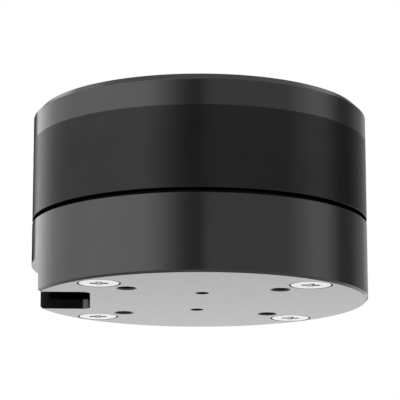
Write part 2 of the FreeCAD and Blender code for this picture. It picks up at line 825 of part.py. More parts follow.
def make_shaft_hardware():
    """What hangs on the shaft's lower end: preload washer, retaining clip and encoder magnet."""
    washer = new_body("preload_washer")
    revolve(
        washer,
        "washer",
        [
            ("race_bore", "clip_top"),
            ("collar_radius", "clip_top"),
            ("collar_radius", "bearing_seat"),
            ("race_bore", "bearing_seat"),
        ],
    )
    clip = new_body("retaining_clip")
    inner = "shaft_radius - clip_depth + fit_clearance"
    outer = "shaft_radius + clip_reach"
    revolve(
        clip,
        "clip",
        [(inner, "clip_bottom"), (outer, "clip_bottom"), (outer, "clip_top"), (inner, "clip_top")],
        span="clip_span",
    )
    magnet = new_body("encoder_magnet")
    sketch = sketch_on(magnet, "magnet_outline", "XY_Plane", lift="encoder_magnet_bottom")
    circle(sketch, "0", "0", "encoder_magnet_diameter / 2")
    pad(magnet, "magnet", sketch, "encoder_magnet_length")


def make_bearing(side, middle):
    """One shielded ball bearing: two rings, balls in their cage, and a shield on each face."""
    half = "bearing_width / 2"
    low, high = f"{middle} - {half}", f"{middle} + {half}"
    for name, bore, rim in (
        ("inner", "race_bore", "inner_land"),
        ("outer", "outer_land", "bearing_outer / 2"),
    ):
        ring = new_body(f"{side}_bearing_{name}_ring")
        revolve(ring, "ring", [(bore, low), (rim, low), (rim, high), (bore, high)])
        track = sketch_on(ring, "track_section", "XZ_Plane")
        circle(track, "ball_place", middle, "ball_diameter / 2 + ball_clearance")
        feature(ring, "Groove", "track", track, ReferenceAxis=(track, ["V_Axis"]), Angle=360)
    balls = new_body(f"{side}_bearing_balls")
    ball = balls.newObject("PartDesign::AdditiveSphere", "ball")
    bind(ball, Radius="ball_diameter / 2")
    ball.setExpression("Placement.Base.x", formula("ball_place"))
    ball.setExpression("Placement.Base.z", formula(middle))
    polar(balls, "balls", [ball], "ball_count")
    cage = new_body(f"{side}_bearing_cage")
    near, far = "ball_place - cage_wall / 2", "ball_place + cage_wall / 2"
    foot, crown = f"{middle} - cage_below", f"{middle} + cage_above"
    revolve(cage, "crown", [(near, foot), (far, foot), (far, crown), (near, crown)])
    seat = cage.newObject("PartDesign::SubtractiveSphere", "ball_pocket")
    bind(seat, Radius="ball_diameter / 2 + cage_clearance")
    seat.setExpression("Placement.Base.x", formula("ball_place"))
    seat.setExpression("Placement.Base.z", formula(middle))
    polar(cage, "ball_pockets", [seat], "ball_count")
    shields = new_body(f"{side}_bearing_shields")
    lip, rim = "inner_land + shield_clearance", "outer_land - fit_clearance"
    for name, face in (
        ("lower", f"{low} + shield_inset"),
        ("upper", f"{high} - shield_inset - shield_thickness"),
    ):
        back = f"{face} + shield_thickness"
        shields.Tip = revolve(shields, f"{name}_shield", [(lip, face), (rim, face), (rim, back), (lip, back)])


def check_document():
    """Stops if any object failed, a cut removed nothing or a body is not a valid solid."""
    doc.recompute()
    for thing in doc.Objects:
        if "Invalid" in thing.State or "Error" in thing.State:
            raise RuntimeError(f"{thing.Name} failed: {thing.State}")
        cuts = ("PartDesign::Pocket", "PartDesign::Groove", "PartDesign::SubtractiveSphere")
        if thing.TypeId in cuts and thing.Shape.Volume >= thing.BaseFeature.Shape.Volume:
            raise RuntimeError(f"{thing.Name} cuts nothing")
        if thing.TypeId == "PartDesign::Body":
            if thing.Shape.isNull() or not thing.Shape.isValid() or not thing.Shape.Solids:
                raise RuntimeError(f"{thing.Label} is not a valid solid")


def write_parts():
    """Writes each body's solids to a file of its own."""
    os.makedirs("parts", exist_ok=True)
    for body in doc.Objects:
        if body.TypeId == "PartDesign::Body":
            body.Shape.exportStep(f"parts/{body.Label}.step")
            print(body.Label, len(body.Shape.Solids), round(body.Shape.Volume, 3))


make_base_housing()
make_housing_screws()
make_stator_base()
make_stator_core()
make_insulator("lower_insulator", "stack_bottom - insulator_thickness")
make_insulator("upper_insulator", "stack_top")
make_phase_coils()
make_phase_leads()
make_encoder_board()
make_board_screws()
make_encoder_chip()
make_cable_socket()
make_rotor_cap()
make_flux_ring()
make_rotor_magnets()
make_shaft()
make_shaft_hardware()
make_bearing("lower", "lower_bearing")
make_bearing("upper", "upper_bearing")
check_document()
write_parts()
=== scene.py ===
import logging
import math
from collections.abc import Mapping, Sequence
from dataclasses import dataclass
from enum import Enum
from functools import cache

import bmesh
import bpy
from mathutils import Matrix, Vector


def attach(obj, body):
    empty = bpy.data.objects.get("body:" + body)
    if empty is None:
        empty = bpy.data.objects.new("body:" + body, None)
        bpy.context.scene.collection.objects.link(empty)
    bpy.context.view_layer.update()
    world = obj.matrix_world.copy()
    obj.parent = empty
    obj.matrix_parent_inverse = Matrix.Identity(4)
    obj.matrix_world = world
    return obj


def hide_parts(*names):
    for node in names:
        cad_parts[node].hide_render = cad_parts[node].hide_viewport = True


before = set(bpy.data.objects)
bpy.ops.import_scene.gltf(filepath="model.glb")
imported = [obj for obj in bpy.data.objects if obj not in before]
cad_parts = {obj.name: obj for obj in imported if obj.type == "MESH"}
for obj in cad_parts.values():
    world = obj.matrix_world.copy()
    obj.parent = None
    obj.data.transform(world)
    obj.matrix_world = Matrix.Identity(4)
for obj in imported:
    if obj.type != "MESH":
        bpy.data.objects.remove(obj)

log = logging.getLogger("gimbal_motor")
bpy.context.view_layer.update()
WHITE = (1.0, 1.0, 1.0)
# Metres in a millimetre.
MM = 0.001
# The angle in degrees from which an edge is left sharp.
SHARP_EDGE = 20.0
# How far a lining reaches into the wall behind it, in millimetres.
THREAD_BITE = 0.004
# How many finer layers most random spots and marks have.
FINE = 3.0
# The values between which most of a noise lies.
NOISE_RANGE = (0.3, 0.7)
# The openings between which a crevice turns into an open face.
OPEN_RANGE = (0.3, 0.85)
# The numbers of the colour sockets on a mixing node.
MIX_FIRST, MIX_SECOND, MIX_RESULT = 6, 7, 2
# How many rays look for a crevice and for an edge.
CREVICE_RAYS, EDGE_RAYS = 6, 4
# How much a step up a wall counts among tool marks, against a step outwards on a face.
MARK_SLOPE = 0.83

Colour = tuple[float, float, float]
Pair = tuple[float, float]
Flat = tuple[float, float]
Place = tuple[float, float, float]
# Height, radius and thread depth of a turned solid where its outline bends.
Ring = tuple[float, float, float]
Mesh = bpy.types.Mesh
Vert = bmesh.types.BMVert
Loop = list[Vert]
Socket = bpy.types.NodeSocket
Value = Socket | float
Paint = Socket | tuple[float, ...]
# What feeds a node, by the names or numbers of its sockets.
Puts = Mapping[str | int, Value | Paint]


class Body(Enum):
    """The rigid bodies that pieces ride on."""

    STATOR = "stator"
    ROTOR = "rotor"


class Side(Enum):
    """The two ends of the motor at which it has a piece each."""

    LOWER = "lower"
    UPPER = "upper"


class Ease(Enum):
    """How a change from one value to another runs."""

    STEADY = "LINEAR"
    SOFT = "SMOOTHSTEP"


class NodeSheet:
    """A node tree, with short calls for the nodes that finishes and surroundings share."""

    def __init__(self, tree: bpy.types.NodeTree) -> None:
        """Takes the tree that nodes are added to."""
        self.tree = tree

    def feed(self, node: bpy.types.Node, puts: Puts) -> None:
        """Feeds a node's input sockets.

        Args:
            node: The node.
            puts: For each socket's name or number, an output socket to link or a plain value.
        """
        for name, source in puts.items():
            if isinstance(source, Socket):
                self.tree.links.new(source, node.inputs[name])
            else:
                node.inputs[name].default_value = source

    def add(self, kind: str, puts: Puts | None = None, **settings: object) -> bpy.types.Node:
        """Adds a node.

        Args:
            kind: The node's type.
            puts: What feeds its input sockets.
            settings: Properties to set on it.

        Returns:
            The new node.
        """
        node = self.tree.nodes.new(kind)
        for setting, choice in settings.items():
            setattr(node, setting, choice)
        self.feed(node, puts or {})
        return node

    def math(self, operation: str, *sources: Value) -> Socket:
        """One step of arithmetic on sockets or values."""
        return self.add("ShaderNodeMath", dict(enumerate(sources)), operation=operation).outputs[0]

    def between(self, share: Socket, first: Value, second: Value) -> Socket:
        """A value that goes from the first to the second as the share goes from 0 to 1."""
        kept = self.math("MULTIPLY", first, self.math("SUBTRACT", 1.0, share))
        return self.math("ADD", kept, self.math("MULTIPLY", second, share))

    def split(self, source: Socket) -> tuple[Socket, ...]:
        """The three parts of a vector."""
        return tuple(self.add("ShaderNodeSeparateXYZ", {0: source}).outputs)

    def ramp(
        self,
        values: Socket,
        start: float,
        end: float,
        low: float = 0.0,
        high: float = 1.0,
        ease: Ease = Ease.STEADY,
    ) -> Socket:
        """The values mapped from the range between start and end to that between low and high, clamped."""
        puts = {"Value": values, "From Min": start, "From Max": end, "To Min": low, "To Max": high}
        return self.add("ShaderNodeMapRange", puts, interpolation_type=ease.value).outputs["Result"]


class MaterialSheet(NodeSheet):
    """A material's node tree, in which places are read in millimetres of the piece itself."""

    def __init__(self, name: str) -> None:
        """Starts a material.

        Args:
            name: The material's name.
        """
        self.material = bpy.data.materials.new(name)
        self.material.use_nodes = True
        super().__init__(self.material.node_tree)
        self.shader = self.tree.nodes["Principled BSDF"]
        metres = self.add("ShaderNodeTexCoord").outputs["Object"]
        scaled = self.add("ShaderNodeVectorMath", {0: metres, "Scale": 1.0 / MM}, operation="SCALE")
        self.place = scaled.outputs[0]
        self.x, self.y, self.z = self.split(self.place)

    def spots(self, size: float, detail: float = FINE) -> Socket:
        """Soft random spots of a size in millimetres, with so many finer layers in them, from 0 to 1."""
        puts = {"Vector": self.place, "Scale": 1.0 / size, "Detail": detail}
        return self.add("ShaderNodeTexNoise", puts).outputs[0]

    def turning(self, width: float) -> Socket:
        """Tool marks of a width in millimetres, from 0 to 1: rings on faces and lines round walls."""
        puts = {"W": self.climb(), "Scale": 1.0 / width, "Detail": FINE}
        return self.add("ShaderNodeTexNoise", puts, noise_dimensions="1D").outputs[0]

    def climb(self) -> Socket:
        """The way across faces and up walls in millimetres, over which tool marks are spread."""
        return self.math("ADD", self.radius(), self.math("MULTIPLY", self.z, MARK_SLOPE))

    def radius(self) -> Socket:
        """The distance from the motor's axis."""
        squares = [self.math("POWER", part, 2.0) for part in (self.x, self.y)]
        return self.math("SQRT", self.math("ADD", *squares))

    def tilt(self) -> Socket:
        """How far the surface looks up, from -1 straight down to 1 straight up."""
        return self.split(self.add("ShaderNodeNewGeometry").outputs["True Normal"])[2]

    def blend(self, share: Socket, first: Paint, second: Paint) -> Socket:
        """A colour that goes from the first to the second as the share goes from 0 to 1."""
        puts = {"Factor": share, MIX_FIRST: first, MIX_SECOND: second}
        return self.add("ShaderNodeMix", puts, data_type="RGBA").outputs[MIX_RESULT]

    def openness(self, reach: float) -> Socket:
        """How open the surface lies, from 0 deep in a crevice of that reach in millimetres to 1."""
        node = self.add("ShaderNodeAmbientOcclusion", {"Distance": reach * MM}, samples=CREVICE_RAYS)
        return self.ramp(node.outputs["AO"], *OPEN_RANGE)

    def bump(self, height: Socket, depth: float, under: Socket) -> Socket:
        """The normal under it with relief laid on, whose height of 1 is a depth in millimetres."""
        puts = {"Distance": depth * MM, "Height": height, "Normal": under}
        return self.add("ShaderNodeBump", puts).outputs["Normal"]

    def soft_edge(self, radius: float) -> Socket:
        """The normal of edges that are broken by a small radius, in millimetres."""
        return self.add("ShaderNodeBevel", {"Radius": radius * MM}, samples=EDGE_RAYS).outputs["Normal"]


def tint(colour: Colour, factor: float = 1.0) -> tuple[float, ...]:
    """A colour made lighter or darker, with full cover."""
    return *(min(1.0, part * factor) for part in colour), 1.0


@dataclass(frozen=True)
class Finish:
    """A surface's colour, gloss and fine relief. Marks and pits have a width and a depth in millimetres."""

    name: str
    colour: Colour
    roughness: float
    metallic: float = 0.0
    ior: float = 1.5
    edge_tint: float = 1.0
    coat: float = 0.0
    marks: Pair | None = None
    mark_gloss: float = 0.03
    pits: Pair | None = None
    patch_size: float = 6.0
    patch_spread: float = 0.12
    patch_detail: float = 4.0
    gloss_share: float = 0.4
    gloss_detail: float = 5.0
    gloss_spread: float = 0.05
    edge: float = 0.05
    # Reach in millimetres of the painted shade in crevices, and how dark that painted shade gets.
    crevice: float = 0.0
    painted_crevice_shade: float = 0.1

    @cache
    def material(self) -> bpy.types.Material:
        """Makes the finish's material, once.

        Returns:
            The material.
        """
        sheet = MaterialSheet(self.name)
        self.paint(sheet)
        return sheet.material

    def paint(self, sheet: MaterialSheet) -> None:
        """Lays the finish on a new material.

        Args:
            sheet: The material's node sheet.
        """
        cloud = sheet.spots(self.patch_size * self.gloss_share, self.gloss_detail)
        dull, glossy = self.roughness + self.gloss_spread, self.roughness - self.gloss_spread
        gloss = sheet.ramp(cloud, *NOISE_RANGE, glossy, dull)
        normal = sheet.soft_edge(self.edge)
        if self.marks:
            width, depth = self.marks
            marks = sheet.turning(width)
            normal = sheet.bump(marks, depth, normal)
            gloss = sheet.math("ADD", gloss, sheet.ramp(marks, 0.0, 1.0, -self.mark_gloss, self.mark_gloss))
        if self.pits:
            width, depth = self.pits
            normal = sheet.bump(sheet.spots(width), depth, normal)
        sheet.feed(sheet.shader, {
            "Base Color": self.shade(sheet), "Roughness": gloss, "Normal": normal,
            "Metallic": self.metallic, "IOR": self.ior,
            "Specular Tint": tint(WHITE, self.edge_tint),
            "Coat Weight": self.coat, "Coat Roughness": self.roughness,
        })

    def shade(self, sheet: MaterialSheet) -> Socket:
        """The colour with its slow change from place to place, and painted shade deep in crevices if the
        finish has a crevice reach.

        Args:
            sheet: The material's node sheet.

        Returns:
            The colour's socket.
        """
        share = sheet.ramp(sheet.spots(self.patch_size, self.patch_detail), *NOISE_RANGE)
        low, high = tint(self.colour, 1.0 - self.patch_spread), tint(self.colour, 1.0 + self.patch_spread)
        shade = sheet.blend(share, low, high)
        # Painted shade: the colour darkens deep in crevices, as ambient occlusion finds them.
        if self.crevice:
            shade = sheet.blend(sheet.openness(self.crevice), tint(self.colour, self.painted_crevice_shade), shade)
        return shade


@dataclass(frozen=True)
class ScrewPlatingWithPaintedShade(Finish):
    """Bright plating, with painted shade on upright walls such as those of a recess."""

    painted_wall_shade: float = 0.02
    painted_wall_span: Pair = (0.12, 0.25)

    def shade(self, sheet: MaterialSheet) -> Socket:
        """The plating's colour, with painted shade where the surface stands upright."""
        # Painted shade: upright walls, such as the arms of a recess, are darkened.
        unshaded_share = sheet.ramp(sheet.math("ABSOLUTE", sheet.tilt()), *self.painted_wall_span)
        return sheet.blend(unshaded_share, tint(self.colour, self.painted_wall_shade), super().shade(sheet))


@dataclass(frozen=True)
class RingBlack(Finish):
    """Blackening that shines on walls, and is matt with painted shade on faces that look down."""

    specular: float = 0.5
    painted_underside_shade: float = 0.04
    shine_span: Pair = (-0.95, -0.65)

    def unshaded_shine(self, sheet: MaterialSheet) -> Socket:
        """How much the surface shines and is free of painted shade, from 0 where it looks down to 1."""
        return sheet.ramp(sheet.tilt(), *self.shine_span)

    def paint(self, sheet: MaterialSheet) -> None:
        """Lays the finish on a new material, neither metallic nor specular where the surface looks down.

        Args:
            sheet: The material's node sheet.
        """
        super().paint(sheet)
        unshaded_shine = self.unshaded_shine(sheet)
        most = {"Metallic": self.metallic, "Specular IOR Level": self.specular}
        sheet.feed(sheet.shader, {name: sheet.math("MULTIPLY", unshaded_shine, level) for name, level in most.items()})

    def shade(self, sheet: MaterialSheet) -> Socket:
        """The blackening's colour, with painted shade where the surface looks down."""
        # Painted shade: faces that look down are darkened.
        return sheet.blend(self.unshaded_shine(sheet), tint(self.colour, self.painted_underside_shade), super().shade(sheet))


@dataclass(frozen=True)
class TracedBoard(Finish):
    """Solder mask over a net of copper traces."""

    trace_colour: Colour = (0.03, 0.16, 0.07)
    trace_length: float = 2.6
    trace_spacing: float = 0.55
    trace_width: float = 0.12
    trace_blur: float = 0.1
    shift: float = 0.37
    squash: float = 0.6

    def shade(self, sheet: MaterialSheet) -> Socket:
        """The mask's colour, lighter over the traces.

        Args:
            sheet: The material's node sheet.

        Returns:
            The colour's socket.
        """
        puts = {
            "Vector": sheet.place, "Scale": 1.0,
            "Brick Width": self.trace_length, "Row Height": self.trace_spacing,
            "Mortar Size": self.trace_width / 2.0, "Mortar Smooth": self.trace_blur,
        }
        brick = sheet.add("ShaderNodeTexBrick", puts, offset=self.shift, squash=self.squash)
        return sheet.blend(brick.outputs[1], tint(self.colour), tint(self.trace_colour))


ANODISED = Finish(
    "anodised_black", (0.011, 0.011, 0.0115), 0.14, ior=1.76, coat=0.2,
    marks=(0.14, 0.00015), pits=(0.07, 0.00025), edge=0.03, gloss_spread=0.02,
)
BLACKENED = RingBlack(
    "ring_black", (0.0375, 0.0375, 0.038), 0.24, metallic=0.88, edge_tint=0.85,
    marks=(0.1, 0.0003), pits=(0.06, 0.0004), edge=0.03, gloss_spread=0.02,
)
DULL_BLACK = Finish("dull_black", (0.006, 0.006, 0.0062), 0.6, ior=1.25, marks=(0.16, 0.001))
NICKEL = ScrewPlatingWithPaintedShade(
    "bright_nickel", (0.74, 0.736, 0.726), 0.17, metallic=1.0, pits=(0.12, 0.0002),
    patch_size=1.2, patch_spread=0.03, edge=0.02, crevice=0.25, painted_crevice_shade=0.35,
)
LAMINATIONS = Finish(
    "lamination_steel", (0.36, 0.37, 0.39), 0.42, metallic=1.0, pits=(0.12, 0.002), patch_size=1.5
)
NYLON = Finish("ivory_nylon", (0.78, 0.75, 0.64), 0.45, pits=(0.2, 0.004))
ENAMEL = Finish(
    "enamelled_copper", (0.62, 0.22, 0.07), 0.24, metallic=0.85, patch_size=2.0, patch_spread=0.25
)
SLEEVE = Finish("silicone_sleeve", (0.02, 0.02, 0.021), 0.55, pits=(0.08, 0.003))
SOLDER_MASK = TracedBoard("solder_mask", (0.01, 0.075, 0.035), 0.3, pits=(0.25, 0.003))
PACKAGE = Finish("chip_package", (0.018, 0.018, 0.019), 0.6, pits=(0.05, 0.004))
CERAMIC = Finish("capacitor_ceramic", (0.42, 0.3, 0.19), 0.5, pits=(0.06, 0.003), patch_size=1.0)
SOLDER = Finish("tin_solder", (0.72, 0.72, 0.71), 0.28, metallic=1.0, pits=(0.15, 0.004))
SOCKET_NYLON = Finish("black_nylon", (0.02, 0.02, 0.021), 0.48, pits=(0.12, 0.004))
GOLD = Finish("gold_flash", (0.9, 0.66, 0.28), 0.22, metallic=1.0, patch_spread=0.06)
MAGNET = Finish("magnet_plate", (0.62, 0.61, 0.59), 0.28, metallic=1.0, pits=(0.2, 0.004))
BEARING = Finish("bearing_steel", (0.68, 0.685, 0.69), 0.14, metallic=1.0, marks=(0.06, 0.0004))
BRASS = Finish("pressed_brass", (0.78, 0.55, 0.22), 0.3, metallic=1.0, pits=(0.1, 0.003))
GROUND = Finish("ground_steel", (0.55, 0.555, 0.565), 0.26, metallic=1.0, marks=(0.05, 0.0006))
SPRING = Finish(
    "blued_spring_steel", (0.09, 0.1, 0.14), 0.3, metallic=1.0, patch_spread=0.3, patch_size=2.0
)


def dress(finish: Finish, *nodes: str) -> None:
    """Gives CAD nodes their finish.

    Args:
        finish: The finish.
        nodes: The nodes' names.
    """
    for node in nodes:
        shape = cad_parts[node]
        shape.data.materials.clear()
        shape.data.materials.append(finish.material())
        log.info("%s: %s", node, finish.name)


def placed(name: str, data: bpy.types.ID) -> bpy.types.Object:
    """Puts a mesh, lamp or camera into the scene.

    Args:
        name: The new object's name.
        data: What it shows.

    Returns:
        The object.
    """
    thing = bpy.data.objects.new(name, data)
    bpy.context.scene.collection.objects.link(thing)
    return thing


def polar(radius: float, angle: float) -> Flat:
    """The place at a distance from the origin and an angle in radians."""
    return radius * math.cos(angle), radius * math.sin(angle)


def on_corners(radius: float) -> list[Flat]:
    """The four corner places on a circle about the motor's axis."""
    return [polar(radius, turn * math.pi / 4.0) for turn in (1.0, 3.0, 5.0, 7.0)]


def spread(count: int, half: float) -> list[float]:
    """Places in a row from -half to half."""
    return [half * (2.0 * index / (count - 1) - 1.0) for index in range(count)]


def rounded_loop(half_width: float, half_height: float, corner: float, steps: int = 4) -> list[Flat]:
    """The places round a rectangle with round corners.

    Args:
        half_width: Half its width.
        half_height: Half its height.
        corner: The corners' radius.
        steps: How many edges make up a corner.

    Returns:
        The places, anticlockwise from the right side's upper end.
    """
    places = []
    for quarter, (across, up) in enumerate(((1, 1), (-1, 1), (-1, -1), (1, -1))):
        middle = (across * (half_width - corner), up * (half_height - corner))
        for step in range(steps + 1):
            x, y = polar(corner, (quarter + step / steps) * math.pi / 2.0)
            places.append((middle[0] + x, middle[1] + y))
    return places


class Form:
    """A mesh in the making, in millimetres, with the calls that the pieces share."""

    def __init__(self) -> None:
        """Starts an empty form."""
        self.mesh = bmesh.new()

    def loop(self, places: Sequence[Vector]) -> Loop:
        """Adds a loop of points."""
        return [self.mesh.verts.new(place) for place in places]

    def skin(self, loops: Sequence[Loop], ends: bool = True) -> None:
        """Covers the space between loops of the same length.

        Args:
            loops: The loops, in order.
            ends: Whether the two end loops are closed with a face; if not, the last is joined to the first.
        """
        pairs = list(zip(loops, loops[1:]))
        if ends:
            self.mesh.faces.new(reversed(loops[0]))
            self.mesh.faces.new(loops[-1])
        else:
            pairs.append((loops[-1], loops[0]))
        for low, high in pairs:
            for index in range(len(low)):
                after = (index + 1) % len(low)
                self.mesh.faces.new((low[index], low[after], high[after], high[index]))

    def turned(
        self, place: Flat, rings: Sequence[Ring], pitch: float = 1.0, segments: int = 48, hollow: bool = False
    ) -> None:
        """Adds a turned solid with an upright axis, threaded where its rings say so.

        Args:
            place: Where the axis stands.
            rings: Height, radius and thread depth of each ring.
            pitch: The thread's pitch.
            segments: How many sides the solid has.
            hollow: Whether the last ring leads back to the first, as in a tube.
        """
        loops = []
        for height, radius, depth in rings:
            places = []
            for step in range(segments):
                turn = step / segments
                reach = radius - depth * abs(2.0 * ((height / pitch - turn) % 1.0) - 1.0)
                x, y = polar(reach, turn * math.tau)
                places.append(Vector((place[0] + x, place[1] + y, height)))
            loops.append(self.loop(places))
        self.skin(loops, ends=not hollow)

    def tapered(self, middle: Flat, sections: Sequence[tuple[float, float, float]]) -> None:
        """Adds a square or oblong bar along X.

        Args:
            middle: Where it runs, across and up.
            sections: Place along X, half width and half height of each section.
        """
        loops = []
        for along, half, tall in sections:
            corners = ((-half, -tall), (half, -tall), (half, tall), (-half, tall))
            loops.append(self.loop([Vector((along, middle[0] + y, middle[1] + z)) for y, z in corners]))
        self.skin(loops)

    def block(self, low: Vector, high: Vector, bevel: float) -> None:
        """Adds a block with its edges broken.

        Args:
            low: Its lowest corner.
            high: Its highest corner.
            bevel: The width of the broken edges.
        """
        size = high - low
        seat = Matrix.Translation((low + high) / 2.0) @ Matrix.Diagonal((*size, 1.0))
        made = bmesh.ops.create_cube(self.mesh, size=1.0, matrix=seat)["verts"]
        edges = list({edge for vert in made for edge in vert.link_edges})
        bmesh.ops.bevel(self.mesh, geom=edges, offset=bevel, segments=2, profile=0.5, affect="EDGES")

    def swept(self, path: Sequence[Vector], section: Sequence[Flat]) -> None:
        """Adds a section carried on from point to point of a path that starts across X.

        Args:
            path: The points of the path.
            section: The section's places, the first of each measured along X at the start.
        """
        loops = []
        first = Vector((1.0, 0.0, 0.0))
        for index, point in enumerate(path):
            ahead = (path[min(index + 1, len(path) - 1)] - path[max(index - 1, 0)]).normalized()
            first = (first - ahead * first.dot(ahead)).normalized()
            second = ahead.cross(first)
            loops.append(self.loop([point + first * place[0] + second * place[1] for place in section]))
        self.skin(loops)

    def shape(self, name: str) -> Mesh:
        """Ends the form.

        Args:
            name: The mesh's name.

        Returns:
            The mesh, in millimetres.
        """
        bmesh.ops.recalc_face_normals(self.mesh, faces=self.mesh.faces)
        mesh = bpy.data.meshes.new(name)
        self.mesh.to_mesh(mesh)
        self.mesh.free()
        return mesh

    def copy_of(self, mesh: Mesh, seat: Matrix) -> None:
        """Adds a copy of a mesh.

        Args:
            mesh: The mesh, in millimetres.
            seat: Where the copy goes.
        """
        start = len(self.mesh.verts)
        self.mesh.from_mesh(mesh)
        self.mesh.verts.ensure_lookup_table()
        bmesh.ops.transform(self.mesh, matrix=seat, verts=self.mesh.verts[start:])

    def piece(
        self,
        name: str,
        finish: Finish,
        slot: str,
        *stands_for: str,
        body: Body = Body.STATOR,
        sharp: float = SHARP_EDGE,
    ) -> None:
        """Ends the form and puts it on the part.

        Args:
            name: The piece's name.
            finish: Its finish.
            slot: The material slot that it belongs to; not used.
            stands_for: The CAD nodes that it takes the place of.
            body: The body that it rides on.
            sharp: The angle in degrees from which an edge is left sharp.
        """
        mesh = self.shape(name)
        mesh.transform(Matrix.Scale(MM, 4))
        mesh.shade_smooth()
        mesh.set_sharp_from_angle(angle=math.radians(sharp))
        mesh.materials.append(finish.material())
        thing = placed(name, mesh)
        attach(thing, body.value)
        if stands_for:
            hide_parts(*stands_for)
        log.info("%s: %s, %d faces", name, finish.name, len(mesh.polygons))


def carved(solid: Mesh, cutter: Mesh) -> Mesh:
    """Cuts one mesh out of another.

    Args:
        solid: The mesh that is cut.
        cutter: The mesh that is cut out of it.

    Returns:
        A new mesh.
    """
    block, tool = placed(solid.name, solid), placed(cutter.name, cutter)
    cut = block.modifiers.new("cut", "BOOLEAN")
    cut.operation, cut.solver, cut.object = "DIFFERENCE", "EXACT", tool
    made = bpy.data.meshes.new_from_object(block.evaluated_get(bpy.context.evaluated_depsgraph_get()))
    for thing in (block, tool):
        bpy.data.objects.remove(thing)
    return made


@dataclass(frozen=True)
class Thread:
    """A metric thread, as the rings of a turned solid."""

    radius: float
    depth: float
    pitch: float
    steps: int = 6

    def rings(self, low: float, high: float) -> list[Ring]:
        """The thread's rings between two heights.

        Args:
            low: The lower height.
            high: The upper height.

        Returns:
            The rings, with the thread running out at both ends.
        """
        count = max(2, round((high - low) / self.pitch * self.steps))
        heights = [low + (high - low) * index / count for index in range(count + 1)]
        inner = [(height, self.radius, self.depth) for height in heights[1:-1]]
        root = self.radius - self.depth
        return [(low, root, 0.0), *inner, (high, root, 0.0)]


@dataclass(frozen=True)
class CrossRecess:
    """A tapered cross recess for a screwdriver."""

    span: float
    width: float
    depth: float
    taper: float = 0.55
    proud: float = 0.2
    knee: Pair = (0.65, 0.5)

    def outline(self, share: float) -> list[Flat]:
        """The cross at a share of its size.

        Args:
            share: 1 for the full span.

        Returns:
            The twelve corners.
        """
        arm, side = self.span / 2.0 * share, self.width / 2.0 * (0.5 + share / 2.0)
        corners, turns = ((arm, -side), (arm, side), (side, side)), ((1, 0), (0, 1), (-1, 0), (0, -1))
        return [(cos * x - sin * y, sin * x + cos * y) for cos, sin in turns for x, y in corners]

    def cutter(self, face: float, inwards: float) -> Mesh:
        """The shape to cut out of a head.

        Args:
            face: The height of the head's face.
            inwards: 1 where the screw lies above its face, -1 where it lies below.

        Returns:
            The cutter.
        """
        form = Form()
        levels = ((-self.proud, -self.proud), self.knee, (1.0, 1.0))
        loops = []
        for deep, narrow in levels:
            outline, height = self.outline(1.0 - narrow * self.taper), face + inwards * deep * self.depth
            loops.append(form.loop([Vector((*place, height)) for place in outline]))
        form.skin(loops)
        return form.shape("recess_cutter")


@dataclass(frozen=True)
class TappedHole:
    """A tapped hole that its thread lines from the mouth inwards; the lining's dark funnel over the mouth is
    painted shade. Its heights are the motor's own.
    """

    thread: Thread
    edge: float
    mouth: float
    start: float
    end: float

    def lining(self, places: Sequence[Flat]) -> Form:
        """The threads of such holes, with dark funnels of painted shade over their mouths.

        Args:
            places: Where the holes stand.

        Returns:
            The form of all the threads.
        """
        wall = self.thread.radius + THREAD_BITE
        rings = self.thread.rings(min(self.start, self.end), max(self.start, self.end))
        if self.end < self.start:
            rings.reverse()
        # Painted shade: a dark funnel lies over the hole's mouth.
        wide, narrow = self.mouth + THREAD_BITE, self.mouth - THREAD_BITE
        shell = ((self.end, wall), (self.start, wall), (self.edge, wide), (self.edge, narrow))
        form = Form()
        for place in places:
            form.turned(place, [*((*ring, 0.0) for ring in shell), *rings], self.thread.pitch, hollow=True)
        return form


@dataclass
class Housing:
    """The base housing with its threads and the countersunk screws under it. Sizes in millimetres."""

    screw_place: float = 17.0
    head_radius: float = 2.31
    head_face: float = 0.0
    land_end: float = 0.53
    cone_end: float = 1.63
    rim_break: float = 0.03
    screw_tip: float = 8.0
    plain_neck: float = 0.3
    point: float = 0.4
    point_taper: float = 0.15
    screw_thread: Thread = Thread(1.25, 0.27, 0.45)
    recess: CrossRecess = CrossRecess(2.05, 0.66, 1.3)
    mount_place: float = 12.5
    mount_hole: TappedHole = TappedHole(Thread(1.021, 0.06, 0.45, steps=8), 0.156, 1.065, 0.2, 4.48)
    post_place: float = 6.0
    post_hole: TappedHole = TappedHole(Thread(0.796, 0.05, 0.35, steps=8), 0.006, 0.796, 0.1, 2.15)

    def build(self) -> None:
        """Dresses the housing, and makes its screws and threads."""
        dress(ANODISED, "base_housing")
        screw, form = self.screw(), Form()
        for place in on_corners(self.screw_place):
            form.copy_of(screw, Matrix.Translation((*place, 0.0)))
        form.piece("countersunk_screws", NICKEL, "plated_screws", "housing_screws")
        mounts, posts = on_corners(self.mount_place), [(0.0, self.post_place), (0.0, -self.post_place)]
        # The linings carry real thread relief, and their dull black is painted shade in the holes.
        self.mount_hole.lining(mounts).piece("mounting_threads", DULL_BLACK, "black_anodised")
        self.post_hole.lining(posts).piece("post_threads", DULL_BLACK, "black_anodised")

    def screw(self) -> Mesh:
        """One countersunk screw on the motor's axis, its head's face downwards.

        Returns:
            The screw's mesh.
        """
        shank = self.screw_thread.radius
        head = [
            (self.head_face, self.head_radius - self.rim_break, 0.0),
            (self.head_face + self.rim_break, self.head_radius, 0.0),
            (self.land_end, self.head_radius, 0.0),
            (self.cone_end, shank, 0.0),
        ]
        threads = self.screw_thread.rings(self.cone_end + self.plain_neck, self.screw_tip - self.point)
        tip = (self.screw_tip, threads[-1][1] - self.point_taper, 0.0)
        form = Form()
        form.turned((0.0, 0.0), [*head, *threads, tip], self.screw_thread.pitch)
        return carved(form.shape("screw_blank"), self.recess.cutter(self.head_face, 1.0))


